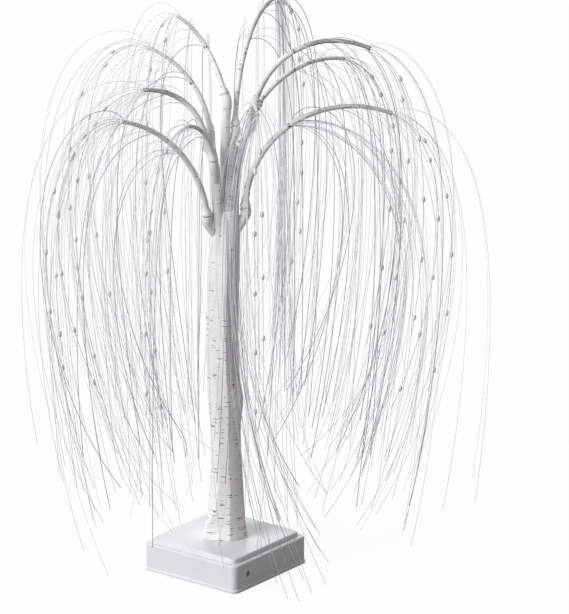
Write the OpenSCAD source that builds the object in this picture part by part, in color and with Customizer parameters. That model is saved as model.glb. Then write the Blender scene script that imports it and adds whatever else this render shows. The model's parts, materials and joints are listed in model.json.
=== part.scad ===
// Light-up willow tree for a table. A square battery base carries a steel post, the post carries a
// bark-wrapped trunk, and three stems on the trunk hold ten bendable limbs. Each limb ends in a
// taped bundle that sheds a spray of thin strands and two strings of bead lights.

/* [Base cover] */
// Side of the square base, across the lip at its bottom edge
base_w = 120; // [114:1:140]
// How far the lip stands out from the wall
lip_out = 1; // [0.5:0.1:2]
// Height of the lip
lip_h = 3; // [2:0.5:5]
// Height of the wall, from the bottom edge to the ledge
wall_h = 29; // [28:1:40]
// Width of the ledge round the raised top
ledge_w = 5; // [4:0.5:8]
// Height of the raised top above the ledge
step_h = 5; // [3:0.5:8]
// Radius of the upright corners
corner_r = 7; // [6:0.5:12]
// Rounding of the ledge's and the top's edges
edge_r = 2; // [1:0.25:2.5]
// Thickness of the moulded walls
wall = 2.2; // [1.6:0.2:2.8]
// Height at which the feet hold the cover off the table
stand_h = 1; // [0.5:0.25:2]

/* [Receiver window] */
// Diameter of the window in the side wall
window_d = 6; // [4:0.5:8]
// Distance of the window from the front corner of the base
window_in = 22; // [18:1:30]
// Height of the window above the table
window_z = 17; // [16:0.5:20]

/* [Bottom plate] */
// Thickness of the bottom plate
plate_t = 2; // [1.6:0.2:3]
// How far the plate lies inside the cover's bottom edge
plate_in = 1; // [0.5:0.25:1.5]
// Diameter of the screw bosses under the cover's top
boss_d = 7; // [6:0.5:8]
// Depth of the cups that take the screw heads
cup_h = 2; // [1.5:0.25:3]
// Diameter of the screws
screw_d = 2.6; // [2.2:0.1:3]
// Length of the screws' shanks
screw_l = 12; // [8:1:16]
// Diameter of a rubber foot
foot_d = 10; // [8:0.5:14]

/* [Batteries] */
// Diameter of a cell
cell_d = 14.2; // [13.5:0.1:14.5]
// Length of a cell with its nub
cell_l = 50.5; // [49:0.5:51]
// Number of cells side by side
cell_count = 3; // [2:1:3]
// Space between the cells and round them
cell_gap = 1; // [0.6:0.1:1.5]
// Length of a squeezed contact spring
spring_l = 5; // [4:0.25:6]
// Thickness of the battery door
door_t = 1.6; // [1.4:0.1:2]
// Lap of the door over the well's edge
door_lap = 2; // [1.5:0.25:3]

/* [Electronics] */
// Length of the circuit board
board_l = 62; // [56:1:66]
// Width of the circuit board
board_w = 32; // [26:1:34]
// Thickness of the circuit board
board_t = 1.6; // [1.2:0.1:2]
// Height of the board's underside above the bottom plate
board_lift = 6; // [5:0.5:8]
// Travel of the power switch
switch_travel = 4; // [2:0.5:5]

/* [Trunk] */
// Height of the trunk's top above the table
trunk_top = 385; // [360:1:400]
// Mean radius of the trunk
trunk_r = 16.5; // [15.5:0.25:20]
// How much wider the foot is than the trunk
foot_flare = 6; // [3:0.5:10]
// Height over which the flare fades
flare_h = 28; // [18:1:40]
// Depth of the waist above the foot
waist = 1.6; // [0:0.1:2]
// Depth of the three flutes
flute = 1.3; // [0.4:0.1:1.6]
// How far the burl stands out
burl = 3.5; // [0:0.5:5]
// Height of the burl above the base
burl_h = 145; // [80:5:250]
// Outer diameter of the post inside the trunk
post_d = 12; // [10:0.5:14]
// Wall of the post
post_wall = 1.5; // [1:0.25:2]

/* [Limbs] */
// Height of the trunk's three stems, as the rise of the left stem above the trunk's top
stem_rise = 61; // [55:1:70]
// Length of the longest limb
limb_l = 206; // [190:1:220]
// Wall of a limb's root cup
cup_wall = 1.5; // [1.2:0.1:1.8]
// Clearance round a limb's ball root
ball_gap = 0.6; // [0.4:0.05:0.8]
// Radius of a limb's tip, as a share of its root radius
tip_share = 0.6; // [0.5:0.05:0.8]
// Share of a limb's length that is plain bark, before the strands begin
bare_share = 0.5; // [0.4:0.05:0.65]

/* [Strands] */
// Radius of a strand
strand_r = 0.5; // [0.4:0.05:0.6]
// Half of the angle over which a limb's strands fan out
fan = 34; // [20:1:38]
// Length over which a strand bends down
strand_bend = 66; // [58:1:72]
// Radius of a bead light
bead_r = 2; // [1.4:0.1:2.4]
// Spacing of the beads along their wire
bead_step = 62; // [50:1:75]
// Beads on each wire
beads = 5; // [3:1:6]

/* [Hidden] */
$fn = 64;
fit = 0.3;
slip = 0.1;

// The ten limbs, counterclockwise from above: name, heading, root, angle at the root and at the tip,
// length, root radius, the length over which its strands bend down, the height where they end,
// its share of the fan, and how far the strands' lower ends curl in
LIMBS = [
    ["limb_1", 6, [27, 14.5, 107], 73, -13, 0.825 * limb_l, 3.2, 0.88 * strand_bend, 105, 0.76, 16],
    ["limb_2", 38, [16.6, 12.9, -1], 89, -22, limb_l, 3.4, strand_bend, 52, 0.78, 26],
    ["limb_3", 74, [23, 24, 103], 47, -16, 0.573 * limb_l, 2.8, 1.06 * strand_bend, 60, 0.9, 14],
    ["limb_4", 108, [1.8, 15.8, 81], 88, -12, 0.888 * limb_l, 2.8, 0.94 * strand_bend, 80, 1, 12],
    ["limb_5", 156, [-4, 7, 113], 57, 1, 0.583 * limb_l, 2.8, 0.94 * strand_bend, 80, 1, 6],
    ["limb_6", 190, [-15.5, -3.3, 77], 83, 12, 0.534 * limb_l, 2.8, 1.12 * strand_bend, 60, 0.6, 20],
    ["limb_7", 220, [-13, -15.2, 73], 83, -5, 0.417 * limb_l, 3.2, 1.18 * strand_bend, 65, 0.48, 12],
    ["limb_8", 248, [-7.5, -18.4, -7], 83, 15, 0.767 * limb_l, 3.4, strand_bend, 50, 0.45, 30],
    ["limb_9", 278, [0.8, -18.2, 52], 78, 8, 0.359 * limb_l, 2.8, 0.91 * strand_bend, 55, 0.72, 5],
    ["limb_10", 314, [29, 6, 91], 62, -18, 0.364 * limb_l, 2.8, 0.82 * strand_bend, 70, 1, -10]
];

// The stems: points of the axis above the trunk's top, with the radius at each, and the limbs held
STEM_LEFT = [[[-3, -6.8, 0], [-4.7, -8.1, 0.5 * stem_rise], [-8.1, -10.7, stem_rise]], [5.6, 5.3, 4.9]];
STEM_CENTRE = [[[-6, 7.5, 0], [-5.2, 7.4, 0.7 * stem_rise], [-1.4, 5.9, stem_rise + 36]], [5.5, 5, 4.2]];
STEM_RIGHT = [[[6.9, 3.4, 0], [9, 3.8, 0.6 * stem_rise], [11.3, 5, stem_rise]], [6.9, 6.6, 6.2]];
// The branch that leaves the right stem under its stub and carries three limbs
CROWN = [[[8.9, 5.6, stem_rise - 21], [14.1, 9.6, stem_rise + 5], [22.5, 16.5, stem_rise + 28]], [5, 5, 4.6]];

body_w = base_w - 2 * lip_out;
body_r = corner_r - lip_out;
top_w = body_w - 2 * ledge_w;
ledge_z = stand_h + wall_h;
top_z = ledge_z + step_h;
room_w = body_w - 2 * wall;
room_r = max(body_r - wall, 1);
plate_w = room_w - 2 * fit;
plate_z = stand_h + plate_in;
plate_top = plate_z + plate_t;
boss_at = plate_w / 2 - boss_d / 2 - 3;
head_d = 2 * screw_d;
head_h = 0.6 * screw_d;

window_y = base_w / 2 - window_in;

contact_t = 0.5;
well_l = cell_l + spring_l + 2 * contact_t + cell_gap;
well_w = cell_count * cell_d + (cell_count + 1) * cell_gap;
well_h = cell_d + cell_gap;
well_wall = 1.6;
door_l = well_l + 2 * door_lap;
door_w = well_w + 2 * door_lap;
door_top = plate_z + door_t;
flange_t = 2;
pin_r = 0.8;
pin_l = 2.5;
hinge_room = 1.6;
well_y = plate_w / 2 - 2.5 - fit - door_w / 2;
hinge_y = well_y - door_w / 2 + pin_r;
hinge_z = door_top - pin_r / 2;
cell_z = door_top + cell_gap / 2 + cell_d / 2;

board_x = plate_w / 2 - 4 - board_l / 2;
board_y = -window_y + 3;
board_z = plate_top + board_lift;
board_top = board_z + board_t;
peg_d = 2.6;
switch_at = [-32, -34];
switch_body = [14, 7, 6];
knob = [4, 3];

bore_d = post_d + 2 * slip;
post_in = 8;
post_low = top_z - wall - post_in;
wrap_t = 0.6;
core_r = post_d / 2 + 3;
core_tip = 3;
burl_turn = 38;
split_h = 70;
post_top = trunk_top - 12;
nut_w = 18;
nut_h = 4;
washer_h = 1;
loom_r = 2;

// Vectors
function unit(v) = v / norm(v);
function flat(lists) = [for (l = lists) each l];
function total(v, i = 0) = i < len(v) ? v[i] + total(v, i + 1) : [0, 0, 0];
function along(heading, rise) = [cos(rise) * cos(heading), cos(rise) * sin(heading), sin(rise)];
function across(heading) = [-sin(heading), cos(heading), 0];
// A repeatable scatter from 0 to 1
function scatter(i) = let (v = sin(i * 78.233 + 12.9) * 4375.85) v - floor(v);

// A ring of n points round c, square to t, whose first point lies towards s
function ring(c, t, s, r, n) =
    let (a = unit(s - (s * t) * t), b = cross(t, a))
    [for (k = [0:n - 1]) c + r * (cos(360 * k / n) * a + sin(360 * k / n) * b)];

// Triangles between rows of n points; row i starts at point first + i * n
function skin(rows, n, first = 0) = [
    for (i = [0:rows - 2], k = [0:n - 1])
        let (a = first + i * n + k, b = first + i * n + (k + 1) % n)
        each [[a, a + n, b + n], [a, b + n, b]]
];
function start_cap(n, first = 0) = [for (k = [1:n - 2]) [first, first + k, first + k + 1]];
function end_cap(n, first) = [for (k = [1:n - 2]) [first, first + k + 1, first + k]];

// A closed solid through rows of rings
module loft(rows) {
    n = len(rows[0]);
    polyhedron(
        flat(rows),
        concat(skin(len(rows), n), start_cap(n), end_cap(n, (len(rows) - 1) * n)),
        convexity = 6
    );
}

// The direction of a path at its point i
function heading(path, i) =
    let (m = len(path) - 1)
    unit(
        (i < m ? unit(path[i + 1] - path[i]) : [0, 0, 0])
            + (i > 0 ? unit(path[i] - path[i - 1]) : [0, 0, 0])
    );
function tube(path, radii, side, n) =
    [for (i = [0:len(path) - 1]) ring(path[i], heading(path, i), side, radii[i], n)];

// A square with round corners, as a drawing and as a row of points at one height
module round_square(w, r) {
    square([w, w - 2 * r], center = true);
    square([w - 2 * r, w], center = true);
    for (x = [-1, 1], y = [-1, 1])
        translate([x, y] * (w / 2 - r))
            circle(r);
}
function square_row(w, r, z, steps = 8) = [
    for (q = [0:3], k = [0:steps])
        let (a = 90 * q + 90 * k / steps, m = w / 2 - r)
        [
            (q == 0 || q == 3 ? m : -m) + r * cos(a),
            (q < 2 ? m : -m) + r * sin(a),
            z
        ]
];
// Rows that round an outer edge of radius edge_r under height z
function edge_rows(w, r, z) = [
    for (a = [0:18:90])
        let (in = edge_r * (1 - cos(a)))
        square_row(w - 2 * in, r - in, z - edge_r * (1 - sin(a)))
];

// Base

module at_corners(p) {
    for (x = [-1, 1], y = [-1, 1])
        translate([x * p, y * p, 0])
            children();
}

module cover_shape() {
    lip_top = stand_h + lip_h;
    loft(concat(
        [
            square_row(base_w, corner_r, stand_h),
            square_row(base_w, corner_r, lip_top - lip_out / 2),
            square_row(body_w + lip_out, corner_r - lip_out / 2, lip_top),
            square_row(body_w, body_r, lip_top + lip_out / 4)
        ],
        edge_rows(body_w, body_r, ledge_z),
        [square_row(top_w, body_r, ledge_z)],
        edge_rows(top_w, body_r, top_z)
    ));
}

module base_cover() {
    boss_low = plate_top + cup_h;
    color("whitesmoke") {
        difference() {
            cover_shape();
            translate([0, 0, stand_h - 1])
                linear_extrude(ledge_z - wall - stand_h + 1)
                    round_square(room_w, room_r);
            translate([0, 0, stand_h])
                linear_extrude(top_z - wall - stand_h)
                    round_square(top_w - 2 * wall, room_r);
            translate([0, 0, post_low])
                cylinder(d = bore_d, h = 2 * post_in);
            translate([body_w / 2 - 2 * wall, -window_y, window_z])
                rotate([0, 90, 0])
                    cylinder(d = window_d, h = 4 * wall);
        }
        at_corners(boss_at)
            difference() {
                translate([0, 0, boss_low])
                    cylinder(d = boss_d, h = ledge_z - boss_low - wall / 2);
                translate([0, 0, boss_low - 1])
                    cylinder(d = screw_d + 2 * slip, h = screw_l + 2);
            }
    }
}

module pin_line(r, l) {
    translate([-l / 2, hinge_y, hinge_z])
        rotate([0, 90, 0])
            cylinder(r = r, h = l);
}

module base_plate() {
    flange = [door_l + 8, door_w + 5];
    pocket_low = hinge_y - pin_r - hinge_room;
    pocket_high = well_y + door_w / 2 + fit;
    color("gainsboro")
        difference() {
            union() {
                translate([0, 0, plate_z])
                    linear_extrude(plate_t)
                        round_square(plate_w, room_r - fit);
                translate([-flange.x / 2, well_y - flange.y / 2, door_top])
                    cube([flange.x, flange.y, flange_t]);
                translate([-well_l / 2 - well_wall, well_y - well_w / 2 - well_wall, door_top])
                    cube([well_l + 2 * well_wall, well_w + 2 * well_wall, well_h + well_wall]);
                at_corners(boss_at)
                    translate([0, 0, plate_z])
                        cylinder(d = boss_d + 2, h = plate_t + cup_h);
                for (p = pegs())
                    translate([p.x, p.y, plate_z + 1]) {
                        cylinder(d = 2 * peg_d, h = board_z - plate_z - 1);
                        cylinder(d = peg_d, h = board_top + 0.8 - plate_z - 1);
                    }
            }
            translate([-door_l / 2 - fit, pocket_low, plate_z - 1])
                cube([door_l + 2 * fit, pocket_high - pocket_low, door_t + 1]);
            translate([-well_l / 2, well_y - well_w / 2, plate_z])
                cube([well_l, well_w, door_t + well_h]);
            pin_line(pin_r + fit, door_l + 2 * pin_l + 2 * fit);
            translate([-latch_w() / 2 - fit, well_y + well_w / 2 - 1, plate_z])
                cube([latch_w() + 2 * fit, door_lap + 1 + fit, door_t + flange_t + 1]);
            at_corners(boss_at) {
                translate([0, 0, plate_z - 1])
                    cylinder(d = head_d + 2 * fit, h = plate_t + cup_h);
                cylinder(d = screw_d + 2 * slip, h = top_z / 2);
            }
            translate([switch_at.x, switch_at.y, plate_z])
                cube(
                    [knob.x + switch_travel + 2 * fit, knob.y + 2 * fit, 3 * plate_t],
                    center = true
                );
        }
}
function latch_w() = 14;
function pegs() = [
    for (x = [-1, 1], y = [-1, 1])
        [board_x + x * (board_l / 2 - 12), board_y + y * (board_w / 2 - 10)]
];

module rubber_feet() {
    color("dimgray")
        for (x = [-1, 1], y = [-1, 1])
            translate([x * (plate_w / 2 - foot_d), y * (plate_w / 2 - boss_d - 2 * foot_d), 0])
                rotate_extrude()
                    polygon([
                        [0, 0],
                        [foot_d / 2 - plate_z / 3, 0],
                        [foot_d / 2, plate_z / 3],
                        [foot_d / 2, plate_z],
                        [0, plate_z]
                    ]);
}

module cover_screws() {
    seat = plate_z + plate_t + cup_h - 1;
    color("silver")
        at_corners(boss_at) {
            translate([0, 0, seat - head_h])
                difference() {
                    cylinder(d = head_d, h = head_h);
                    for (a = [0, 90])
                        rotate(a)
                            cube([0.7 * head_d, 0.2 * head_d, head_h], center = true);
                }
            translate([0, 0, seat])
                cylinder(d = screw_d, h = screw_l);
        }
}

module battery_door() {
    grip = 3;
    color("gainsboro")
        difference() {
            union() {
                translate([-door_l / 2, hinge_y + pin_r / 2, plate_z])
                    cube([door_l, door_w - 1.5 * pin_r, door_t]);
                translate([-door_l / 2, hinge_y, hinge_z - pin_r])
                    cube([door_l, pin_r, pin_r]);
                pin_line(pin_r, door_l + 2 * pin_l);
                translate([-latch_w() / 2, well_y + well_w / 2 + fit, plate_z])
                    cube([latch_w(), door_lap - fit, door_t + flange_t]);
            }
            for (k = [0:grip - 1])
                translate([0, well_y + door_w / 2 - 6 - 3 * k, plate_z])
                    cube([latch_w(), 1.2, door_t / 2], center = true);
        }
}

// One cell along +X from its flat end, round the X axis
module cell() {
    nub = 1.2;
    rotate([0, 90, 0])
        rotate_extrude()
            polygon([
                [0, 0],
                [cell_d / 2 - 1, 0],
                [cell_d / 2, 1],
                [cell_d / 2, cell_l - nub - 1],
                [cell_d / 2 - 1, cell_l - nub],
                [cell_d / 5, cell_l - nub],
                [cell_d / 5, cell_l],
                [0, cell_l]
            ]);
}

// Puts its children at each cell's flat end, turned end for end from cell to cell
module at_cells() {
    low = -well_l / 2 + contact_t + spring_l;
    for (k = [0:cell_count - 1])
        translate([0, well_y + (k - (cell_count - 1) / 2) * (cell_d + cell_gap), cell_z])
            rotate(180 * (k % 2))
                translate([low, 0, 0])
                    children();
}

module battery_cells() {
    color("darkolivegreen")
        at_cells()
            cell();
}

spring_turns = 3;
spring_wire = 0.35;
function spring_path() =
    let (steps = 8 * spring_turns, run = spring_l - 2 * spring_wire)
    [
        for (i = [0:steps])
            let (a = 360 * i / 8, r = cell_d * (0.3 - 0.1 * i / steps))
            [-spring_l + spring_wire + run * i / steps, r * cos(a), r * sin(a)]
    ];
echo(spring_gap = (spring_l - 2 * spring_wire) / spring_turns - 2 * spring_wire);

module contact_springs() {
    path = spring_path();
    color("goldenrod")
        at_cells()
            loft(tube(path, [for (p = path) spring_wire], [1, 0.01, 0.02], 6));
}

module contact_plates() {
    side = 0.7 * cell_d;
    far = well_l - spring_l - 2 * contact_t;
    color("silver")
        at_cells()
            for (x = [-spring_l - contact_t, far])
                translate([x, -side / 2, -side / 2])
                    cube([contact_t, side, side]);
}

module circuit_board() {
    color("seagreen")
        difference() {
            translate([board_x - board_l / 2, board_y - board_w / 2, board_z])
                cube([board_l, board_w, board_t]);
            for (p = pegs())
                translate([p.x, p.y, board_z - 1])
                    cylinder(d = peg_d + 2 * slip, h = board_t + 2);
            at_corners(boss_at)
                translate([0, 0, board_z - 1])
                    cylinder(d = boss_d + 2, h = board_t + 2);
        }
}

// Chip, smoothing capacitor and the loom's plug on the board
module board_parts() {
    color("dimgray") {
        translate([board_x + 2, board_y - 4, board_top])
            cube([12, 8, 2]);
        translate([board_x - 6, board_y - 8, board_top])
            cylinder(d = 6, h = 9);
        translate([board_x - 12, board_y + board_w / 2 - 9, board_top])
            cube([12, 6, 5]);
    }
}

module ir_receiver() {
    size = [5, 6, window_z + 3 - board_top];
    front = board_x + board_l / 2;
    color("black") {
        translate([front - size.x, -window_y - size.y / 2, board_top])
            cube(size);
        translate([front - 1, -window_y, window_z])
            rotate([0, 90, 0])
                cylinder(d = 4, h = 2.5);
    }
}

module receiver_window() {
    rim = 1.5;
    inner = room_w / 2;
    color("darkslategray")
        translate([inner, -window_y, window_z])
            rotate([0, 90, 0])
                rotate_extrude()
                    polygon([
                        [0, -1],
                        [window_d / 2 + rim, -1],
                        [window_d / 2 + rim, 0],
                        [window_d / 2 - slip, 0],
                        [window_d / 2 - slip, wall - 0.5],
                        [window_d / 3, wall - 0.1],
                        [0, wall]
                    ]);
}

module switch_body() {
    color("dimgray")
        translate([switch_at.x, switch_at.y, plate_top])
            difference() {
                translate([-switch_body.x / 2, -switch_body.y / 2, 0])
                    cube(switch_body);
                cube(
                    [knob.x + switch_travel + 2 * fit, knob.y + 2 * fit, 2 * knob.y],
                    center = true
                );
            }
}

// The knob stands at the off end of its slot
module switch_slider() {
    low = (stand_h + plate_z) / 2;
    color("black")
        translate([switch_at.x - (knob.x + switch_travel) / 2, switch_at.y - knob.y / 2, low])
            difference() {
                cube([knob.x, knob.y, plate_top + knob.y - fit - low]);
                for (x = [1, 2, 3])
                    translate([x * knob.x / 4, 0, 0])
                        cube([0.4, 3 * knob.y, 0.6], center = true);
            }
}

// Post and trunk

module trunk_post() {
    color("silver")
        translate([0, 0, post_low])
            difference() {
                cylinder(d = post_d, h = post_top - post_low);
                translate([0, 0, -1])
                    cylinder(d = post_d - 2 * post_wall, h = post_top);
            }
}

module post_nut() {
    under = top_z - wall;
    color("silver") {
        translate([0, 0, under - washer_h])
            difference() {
                cylinder(d = 1.4 * nut_w, h = washer_h);
                translate([0, 0, -1])
                    cylinder(d = bore_d, h = washer_h + 2);
            }
        translate([0, 0, under - washer_h - nut_h])
            difference() {
                cylinder(d = nut_w / cos(30), h = nut_h, $fn = 6);
                translate([0, 0, -1])
                    cylinder(d = bore_d, h = nut_h + 2);
            }
    }
}

// From the plug on the board, over to the post and up inside it
module lead_wires() {
    plug = [board_x - 12, board_y + board_w / 2 - 6, board_top + 2.5];
    path = [
        plug,
        plug + [-4, 0, 0],
        plug + [-7, 2, 0],
        [2, plug.y + 4, plug.z],
        [0, -8, plug.z],
        [0, -3, plug.z + 1],
        [0, 0, plug.z + 4],
        [0, 0, post_low],
        [0, 0, post_top]
    ];
    color("ivory")
        loft(tube(path, [for (p = path) loom_r], [0.1, 0.2, 1], 8));
}

// The trunk's outline: a flared foot, a slight waist, flutes that wind round it, a burl, and at the
// top the three stems' own outlines, wrapped together
function bark_radius(h) =
    trunk_r + foot_flare * exp(-h / flare_h) - waist * exp(-pow((h - 100) / 45, 2));
function ease(x) = let (t = min(max(x, 0), 1)) t * t * (3 - 2 * t);
// How far a round stem reaches from the trunk's axis in direction a
function stem_reach(axis, a) =
    let (
        c = axis[0][0],
        r = axis[1][0] + wrap_t,
        d = c.x * cos(a) + c.y * sin(a),
        q = r * r - c.x * c.x - c.y * c.y + d * d
    )
    q > 0 ? d + sqrt(q) : 0;
function bark_row(h, n = 36) =
    let (
        r = bark_radius(h),
        split = ease((h + top_z - trunk_top) / split_h + 1),
        core = core_r - (core_r - core_tip) * ease((h + top_z - post_top) / (trunk_top - post_top)),
        sway = (1 - split) * [1.5 * sin(h * 1.3), 1.2 * sin(h * 0.9 + 40)]
    )
    [
        for (k = [0:n - 1])
            let (
                a = 360 * k / n,
                groove = flute * (0.4 * cos(3 * a + 0.25 * h) + 0.3 * sin(2 * a - 0.4 * h))
                    + burl * exp(-pow((h - burl_h) / 20, 2)) * exp(-2 * (1 - cos(a - burl_turn))),
                wrapped = max([core, for (s = [STEM_LEFT, STEM_CENTRE, STEM_RIGHT]) stem_reach(s, a)]),
                q = (1 - split) * (r + groove) + split * wrapped
            )
            [q * cos(a) + sway.x, q * sin(a) + sway.y, top_z + h]
    ];

module trunk_bark() {
    tall = trunk_top - top_z;
    rows = 24;
    color("white")
        difference() {
            union() {
                loft([for (i = [0:rows]) bark_row(tall * pow(i / rows, 1.15))]);
                arm(LIMBS[7], fork + [-3, -7, -32]);
                arm(LIMBS[1], fork + [7, 3.5, -32]);
            }
            translate([0, 0, top_z - 1])
                cylinder(d = bore_d, h = post_top - top_z + 1 + fit);
        }
}

// Stems

fork = [0, 0, trunk_top];
stem_sides = 12;

function limb_root(l) = fork + l[2];
function cup_r(l) = l[6] + ball_gap + cup_wall;

// An arm of a stem or the trunk: out of a point inside it, then along the limb's own start into its cup
module arm(l, from) {
    root = limb_root(l);
    t = along(l[1], l[3]);
    s = across(l[1]);
    ball = l[6] + ball_gap;
    rim = 0.4 * l[6];
    deep = [asin(rim / ball), 45, 68];
    rows = concat(
        [
            ring(from, unit(root - t * 9 - from), s, 0.85 * cup_r(l), stem_sides),
            ring(root - t * 9, unit(t + unit(root - t * 9 - from)), s, 0.92 * cup_r(l), stem_sides),
            ring(root - t * rim, t, s, cup_r(l), stem_sides)
        ],
        [for (a = deep) ring(root - t * ball * sin(a), t, s, ball * cos(a), stem_sides)]
    );
    loft(rows);
}

// A round shoot along an axis, with a domed end
module shoot(axis) {
    path = [for (p = axis[0]) fork + p];
    m = len(path) - 1;
    up = heading(path, m);
    rows = concat(
        [ring(path[0], [0, 0, 1], [1, 0, 0], axis[1][0], stem_sides)],
        [for (i = [1:m]) ring(path[i], heading(path, i), [1, 0, 0], axis[1][i], stem_sides)],
        [
            for (a = [35, 65])
                ring(path[m] + up * axis[1][m] * sin(a), up, [1, 0, 0], axis[1][m] * cos(a), stem_sides)
        ]
    );
    loft(rows);
}

module stem(axes, arms) {
    color("whitesmoke") {
        for (a = axes)
            shoot(a);
        for (a = arms)
            arm(LIMBS[a[0] - 1], fork + a[1]);
    }
}

module stem_left() {
    stem([STEM_LEFT], [
        [9, [-4.4, -7.9, 24]],
        [7, [-7.6, -10.3, 56]],
        [6, [-7.6, -10.3, 57]]
    ]);
}
module stem_centre() {
    stem([STEM_CENTRE], [[5, [-1.8, 6.1, 90]], [4, [-5.1, 7.3, 48]]]);
}
module stem_right() {
    stem([STEM_RIGHT, CROWN], [
        [10, [15.6, 10.8, 70]],
        [1, [22, 16, 87]],
        [3, [22, 16, 87]]
    ]);
}

// Limbs

limb_sides = 12;
bundle_sides = 6;
bundle_knots = 3;
knot_l = 2.5;
skirt_s = 0.4;
skirt_l = 9;

// Place and rise of a limb at s along it: one arc in its own upright plane
function limb_rise(l, s) = l[3] + (l[4] - l[3]) * s / l[5];
function limb_point(l, s) =
    let (
        bend = (l[3] - l[4]) * PI / 180,
        k = l[5] / bend,
        a = limb_rise(l, s),
        out = k * (sin(l[3]) - sin(a)),
        up = k * (cos(a) - cos(l[3]))
    )
    limb_root(l) + [out * cos(l[1]), out * sin(l[1]), up];
function limb_radius(l, s) = l[6] * (1 - (1 - tip_share) * s / l[5]);
function limb_ring(l, s, r, n) =
    ring(limb_point(l, s), along(l[1], limb_rise(l, s)), across(l[1]), r, n);

// A ball root, a skirt that covers the cup's rim, then the tapering wrap
module limb_bark(l) {
    t = along(l[1], l[3]);
    reach = bare_share * l[5];
    steps = 8;
    skirt = [[skirt_s, l[6]], [1.5 * skirt_s, cup_r(l)], [6 * skirt_s, 0.9 * cup_r(l)]];
    color("white")
        loft(concat(
            [
                for (a = [75, 50, 25])
                    ring(limb_root(l) - t * l[6] * sin(a), t, across(l[1]), l[6] * cos(a), limb_sides)
            ],
            [for (r = skirt) limb_ring(l, r[0], r[1], limb_sides)],
            [
                for (i = [0:steps])
                    let (s = skirt_l + (reach - skirt_l) * i / steps)
                    limb_ring(l, s, limb_radius(l, s), limb_sides)
            ]
        ));
}

// Strands

// A strand leaves at one rise and turns down to another over its bend length, and curls in with the
// square of its length
function strand_rise(s, a0, a1, bend, curl) = a1 + (a0 - a1) * exp(-s / bend) - curl * s * s;
function strand_leg(h, a0, a1, bend, curl, s0, s1, m = 8) =
    total([for (j = [0.5:m]) along(h, strand_rise(s0 + (s1 - s0) * j / m, a0, a1, bend, curl))])
        * (s1 - s0) / m;
function strand_path(p, h, a0, a1, bend, curl, stops) = [
    for (
        i = 0, q = p;
        i < len(stops);
        i = i + 1,
        q = i < len(stops) ? q + strand_leg(h, a0, a1, bend, curl, stops[i - 1], stops[i]) : q
    ) q
];

// The bundle keeps the limb's own outline; strands come out of it at short knots of tape
function knot_s(l, j) =
    l[5] * bare_share + (l[5] * (1 - bare_share) - knot_l) * j / (bundle_knots - 1);
function bundle_stops(l) = [for (j = [0:bundle_knots - 1]) each [knot_s(l, j), knot_s(l, j) + knot_l]];
function bundle_points(l) =
    flat([for (s = bundle_stops(l)) limb_ring(l, s, limb_radius(l, s), bundle_sides)]);

// Share of the fan of the strand on each side of each knot, and the lift on each side; the knots
// nearer the trunk spread wider, so that no strand passes over another
side_fan = [
    [0.87, 0.77, -0.87, -0.97, -0.77, 0.97],
    [0.63, 0.55, -0.63, -0.71, -0.55, 0.71],
    [0.41, 0.25, -0.4, -0.5, -0.18, 0.5]
];
side_lift = [8, 32, 8, -14, -26, -14];
stops_share = [0, 0.01, 0.1, 0.23, 0.56, 1];
root_out = 1.5;

// Two triangles of each side of a knot: one stays, the other is where a strand grows
function knot_faces(j, k) =
    let (
        a = 2 * j * bundle_sides + k,
        b = 2 * j * bundle_sides + (k + 1) % bundle_sides,
        n = bundle_sides
    )
    [[a, a + n, b + n], [a, b + n, b]];

// The strands of limb l: root face, fan share, lift, bend length, knot and a number to scatter by
function strands(l) =
    let (m = (2 * bundle_knots - 1) * bundle_sides, j = bundle_knots - 1)
    concat(
        [
            for (j = [0:bundle_knots - 1], k = [0:bundle_sides - 1])
                let (i = j * bundle_sides + k)
                [
                    knot_faces(j, k)[1],
                    side_fan[j][k],
                    side_lift[k] + 8 * (scatter(i + 7) - 0.5),
                    l[7] * (0.62 + 0.17 * j + 0.12 * scatter(i + 31)),
                    j,
                    i
                ]
        ],
        [
            [[m, m + 2, m + 1], 0.33, 8, l[7] * 1.04, j, m],
            [[m, m + 5, m + 4], 0.12, -8, l[7] * 0.96, j, m + 1]
        ]
    );

// Rows of three points along one strand, after its root face
function strand_rows(l, strand, pts) =
    let (
        face = [for (i = strand[0]) pts[i]],
        middle = (face[0] + face[1] + face[2]) / 3,
        root = middle + root_out * unit(cross(face[2] - face[0], face[1] - face[0])),
        h = l[1] + fan * l[9] * strand[1],
        a0 = limb_rise(l, knot_s(l, strand[4])) + strand[2],
        a1 = -87 - 11 * scatter(strand[5] + 3 * l[1]),
        end = l[8] + 24 * (bundle_knots - 1 - strand[4]) + 70 * scatter(strand[5] + l[1]),
        long = root.z - end + 0.75 * strand[3],
        curl = l[10] * (0.3 + scatter(strand[5] + 5 * l[1])) / (long * long),
        stops = [for (f = stops_share) f * long],
        path = strand_path(root, h, a0, a1, strand[3], curl, stops),
        s = across(h),
        v = face[0] - middle,
        roll = atan2(v * cross(along(h, a0), s), v * s)
    )
    [
        for (i = [1:len(stops) - 1])
            let (t = along(h, strand_rise(stops[i], a0, a1, strand[3], curl)))
            ring(path[i], t, cos(roll) * s + sin(roll) * cross(t, s), strand_r, 3)
    ];

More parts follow.
